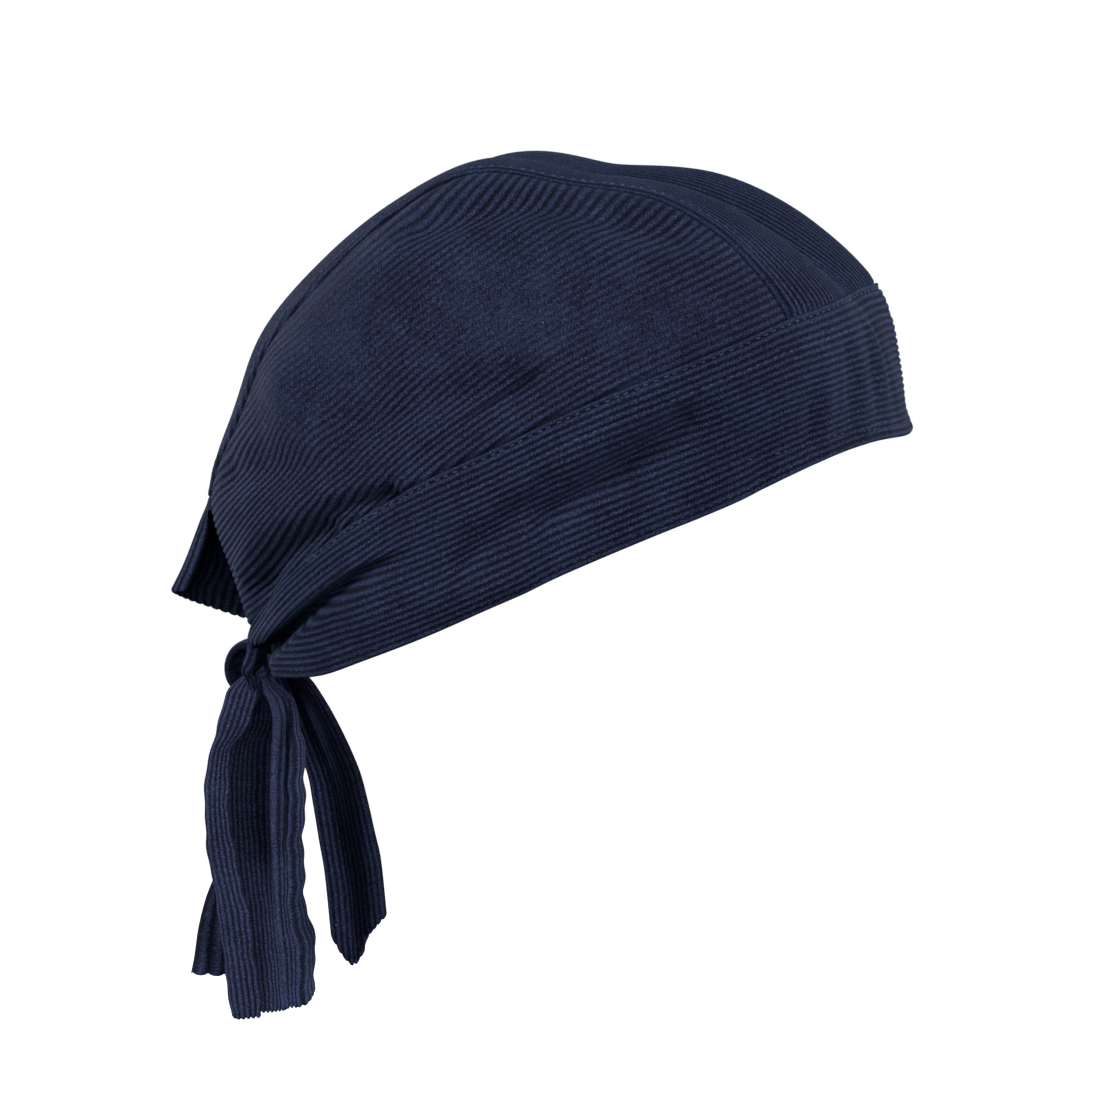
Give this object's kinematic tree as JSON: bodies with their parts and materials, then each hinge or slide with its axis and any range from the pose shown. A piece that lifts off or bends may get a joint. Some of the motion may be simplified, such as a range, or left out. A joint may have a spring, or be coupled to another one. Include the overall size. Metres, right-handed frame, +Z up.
{
  "type": "tied skull cap of ribbed cloth, worn as a helmet liner",
  "caption": "Head-wrap cap of ribbed cotton: centre strip, side panels and headband, knotted at the nape with hanging ties, worn under a helmet.",
  "frame": {"origin": "inside of the crown, where the cap sits on the head", "axes": "-Y is the forehead, +Y the back with the knot, -X the wearer's right side, +Z up"},
  "size_m": [0.1568, 0.2081, 0.2472],
  "materials": {
    "crown_cloth": "matt navy ribbed cotton, fine ribs",
    "band_cloth": "matt navy ribbed cotton, folded double, topstitched",
    "tie_cloth": "matt navy ribbed cotton with raw scalloped ends",
    "stitching": "navy sewing thread, slightly lighter than the cloth"
  },
  "bodies": {
    "root": {"crown_strip": "crown_cloth", "side_panel_right": "crown_cloth", "side_panel_left": "crown_cloth", "headband": "band_cloth", "tail_flap": "crown_cloth", "knot_core": "tie_cloth", "knot_wrap": "tie_cloth", "tie_right": "tie_cloth", "tie_left": "tie_cloth"}
  },
  "joints": []
}
